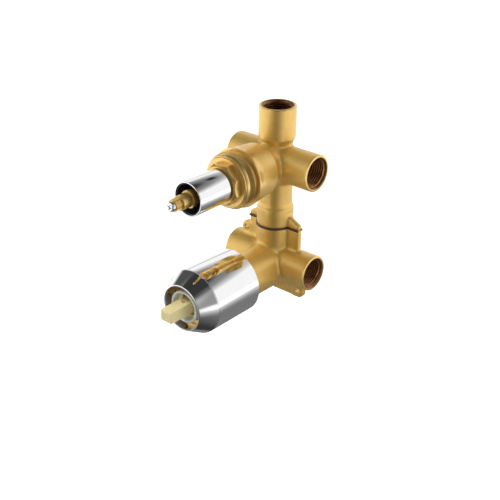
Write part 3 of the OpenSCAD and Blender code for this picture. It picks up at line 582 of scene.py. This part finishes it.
# %% Floor, world, lamps and cards
def white_ground():
    material = bpy.data.materials.new("white_ground")
    material.use_nodes = True
    tree = material.node_tree
    surface = tree.nodes["Principled BSDF"]
    surface.inputs["Roughness"].default_value = 0.9
    surface.inputs["Base Color"].default_value = (0.86, 0.86, 0.86, 1)
    output = tree.nodes["Material Output"]
    rays = node(tree, "ShaderNodeLightPath", -600, 400)
    glow = node(tree, "ShaderNodeEmission", -200, 300)
    either = node(tree, "ShaderNodeMath", -400, 400, operation="MAXIMUM")
    level = node(tree, "ShaderNodeMath", -300, 500, operation="MULTIPLY")
    level.inputs[1].default_value = 0.55
    both = node(tree, "ShaderNodeAddShader", 200, 200)
    tree.links.new(rays.outputs["Is Camera Ray"], either.inputs[0])
    tree.links.new(rays.outputs["Is Glossy Ray"], either.inputs[1])
    tree.links.new(either.outputs["Value"], level.inputs[0])
    tree.links.new(level.outputs["Value"], glow.inputs["Strength"])
    tree.links.new(surface.outputs["BSDF"], both.inputs[0])
    tree.links.new(glow.outputs["Emission"], both.inputs[1])
    tree.links.new(both.outputs["Shader"], output.inputs["Surface"])
    return material


floor_z = -0.12
floor_mesh = bpy.data.meshes.new("floor")
floor_mesh.from_pydata([(x, y, floor_z) for x, y in ((-6, -6), (6, -6), (6, 6), (-6, 6))], [], [(0, 1, 2, 3)])
floor_mesh.materials.append(white_ground())
floor = bpy.data.objects.new("floor", floor_mesh)
bpy.context.scene.collection.objects.link(floor)

world = bpy.data.worlds.new("studio")
bpy.context.scene.world = world
world.use_nodes = True
tree = world.node_tree
background = tree.nodes["Background"]
rays = node(tree, "ShaderNodeLightPath", -800, 300)
seen = node(tree, "ShaderNodeMath", -600, 300, operation="MAXIMUM")
shown = node(tree, "ShaderNodeMath", -400, 300, operation="MAXIMUM")
strength = node(tree, "ShaderNodeMapRange", -200, 200)
strength.inputs["To Min"].default_value = 0.55
strength.inputs["To Max"].default_value = 1.0
background.inputs["Color"].default_value = (1, 1, 1, 1)
tree.links.new(rays.outputs["Is Camera Ray"], seen.inputs[0])
tree.links.new(rays.outputs["Is Glossy Ray"], seen.inputs[1])
tree.links.new(seen.outputs["Value"], shown.inputs[0])
tree.links.new(rays.outputs["Is Transmission Ray"], shown.inputs[1])
tree.links.new(shown.outputs["Value"], strength.inputs["Value"])
tree.links.new(strength.outputs["Result"], background.inputs["Strength"])


def toward(azimuth, elevation):
    """The direction of something around the object: azimuth 0 is in front and 90 is on the right."""
    a, e = math.radians(azimuth), math.radians(elevation)
    return Vector((math.sin(a) * math.cos(e), -math.cos(a) * math.cos(e), math.sin(e)))


CENTRE = Vector((-0.01, -0.03, 0.045))


def lamp(name, azimuth, elevation, distance, size, power):
    light = bpy.data.lights.new(name, "AREA")
    light.energy = power
    light.size = size
    made = bpy.data.objects.new(name, light)
    bpy.context.scene.collection.objects.link(made)
    way = toward(azimuth, elevation)
    made.location = CENTRE + way * distance
    made.rotation_euler = way.to_track_quat("Z", "Y").to_euler()
    made.visible_glossy = False
    return made


def ease(x, low, high):
    """0 below low, 1 above high, and a smooth step between."""
    t = np.clip((x - low) / (high - low), 0.0, 1.0)
    return t * t * (3 - 2 * t)


# %% [markdown]
# A mirror shows whatever stands around it, so photographers pin grey and black cards around chrome.
# Here the cards are one soft pattern on a clear tent: a half ball overhead and a mat on the floor.
# Where the pattern is white the tent is clear, so the metal shows the white studio itself. Each panel
# has a direction, a half width and a half height in degrees, a soft edge and a level, where 1 is white.

# %% The tent and its panels
SKY = [(-90, 0.20), (-50, 0.19), (-41, 0.20), (-34, 0.32), (-25, 0.62), (-16, 1.0), (28, 1.0), (37, 0.60),
       (45, 0.27), (52, 0.20), (57, 0.04), (90, 0.03)]
PANELS = [
    ("camera side", 34, 0, 27, 100, 18, 0.04),
    ("right wall", 76, 20, 12, 22, 5, 0.32),
    ("left flag", -90, 38, 14, 28, 8, 0.08),
    ("thin strip", -131, 12, 24, 2.0, 1.6, 0.40),
    ("black batten", -173, 48, 10, 2.4, 1.4, 0.02),
]


def tent_level(azimuth, elevation):
    """How bright the tent is in a direction, in degrees."""
    level = np.interp(elevation, [e for e, _ in SKY], [v for _, v in SKY])
    for _, a, e, half_a, half_e, soft, value in PANELS:
        across = np.abs((azimuth - a + 180) % 360 - 180)
        along = np.abs(elevation - e)
        inside = (1 - ease(across, half_a - soft, half_a + soft)) * (1 - ease(along, half_e - soft, half_e + soft))
        level = level * (1 - inside) + value * inside
    return level


def card_material():
    material = bpy.data.materials.new("studio_card")
    material.use_nodes = True
    tree = material.node_tree
    tree.nodes.remove(tree.nodes["Principled BSDF"])
    clear = node(tree, "ShaderNodeBsdfTransparent", -100, 150)
    glow = node(tree, "ShaderNodeEmission", -100, 0)
    shade = node(tree, "ShaderNodeAttribute", -400, 0, attribute_name="shade")
    cover = node(tree, "ShaderNodeMapRange", -200, 300)
    cover.inputs["From Min"].default_value = 0.95
    cover.inputs["From Max"].default_value = 0.75
    both = node(tree, "ShaderNodeMixShader", 150, 100)
    tree.links.new(shade.outputs["Fac"], glow.inputs["Strength"])
    tree.links.new(shade.outputs["Fac"], cover.inputs["Value"])
    tree.links.new(cover.outputs["Result"], both.inputs["Fac"])
    tree.links.new(clear.outputs["BSDF"], both.inputs[1])
    tree.links.new(glow.outputs["Emission"], both.inputs[2])
    tree.links.new(both.outputs["Shader"], tree.nodes["Material Output"].inputs["Surface"])
    return material


def tent(radius=1.6, across=240, down=130):
    """Rings from the zenith down; below the horizon they lie on the floor."""
    drop = CENTRE.z - floor_z - 0.002
    rings = []
    for i in range(down + 1):
        e = 90 - 180 * i / down
        flat = radius * math.cos(math.radians(e))
        height = radius * math.sin(math.radians(e))
        if e < 0 and -height > drop:
            flat, height = drop / math.tan(math.radians(-e)), -drop
        if i in (0, down):
            rings.append([(0.0, 0.0, height / MM)])
        else:
            rings.append([(flat / MM * math.sin(math.radians(360 * k / across)),
                           -flat / MM * math.cos(math.radians(360 * k / across)), height / MM)
                          for k in range(across)])
    mesh = rings_to_mesh("tent", rings, [card_material()], None, False, UP)
    co = np.empty(len(mesh.vertices) * 3)
    mesh.vertices.foreach_get("co", co)
    co = co.reshape(-1, 3)
    azimuth = np.degrees(np.arctan2(co[:, 0], -co[:, 1]))
    elevation = np.degrees(np.arctan2(co[:, 2], np.hypot(co[:, 0], co[:, 1])))
    level = tent_level(azimuth, elevation)
    shade = mesh.attributes.new("shade", "FLOAT", "POINT")
    shade.data.foreach_set("value", level)
    made = bpy.data.objects.new("tent", mesh)
    bpy.context.scene.collection.objects.link(made)
    made.location = CENTRE
    made.visible_camera = False
    made.visible_diffuse = False
    made.visible_shadow = False
    print("tent levels:", round(float(level.min()), 2), "to", round(float(level.max()), 2))


tent()
lamp("key", -60, 48, 1.2, 0.5, 10)
lamp("fill", 115, 30, 1.2, 0.6, 4)

# %% [markdown]
# ## The camera
#
# The camera stands where the photographer stood: to the right, a little above, and fairly far away.

# %% Camera
def solved_camera(azimuth, elevation, roll, distance, target, focal_px, frame_px=500):
    way = toward(azimuth, elevation)
    right = Vector((math.cos(math.radians(azimuth)), math.sin(math.radians(azimuth)), 0))
    up = way.cross(right)
    r = math.radians(roll)
    right, up = math.cos(r) * right + math.sin(r) * up, -math.sin(r) * right + math.cos(r) * up
    data = bpy.data.cameras.new("photo_camera")
    data.sensor_width = 36.0
    data.lens = focal_px * 36.0 / frame_px
    made = bpy.data.objects.new("photo_camera", data)
    bpy.context.scene.collection.objects.link(made)
    turn = Matrix((right, up, way)).transposed()
    made.matrix_world = Matrix.Translation((Vector(target) + way * distance) * MM) @ turn.to_4x4()
    bpy.context.scene.camera = made
    print("lens:", round(data.lens, 1), "mm")


solved_camera(40.31, 27.32, 0.73, 706.88, (-23.10, 0, -1.64), 948.45)
bpy.context.scene.view_settings.view_transform = "Standard"
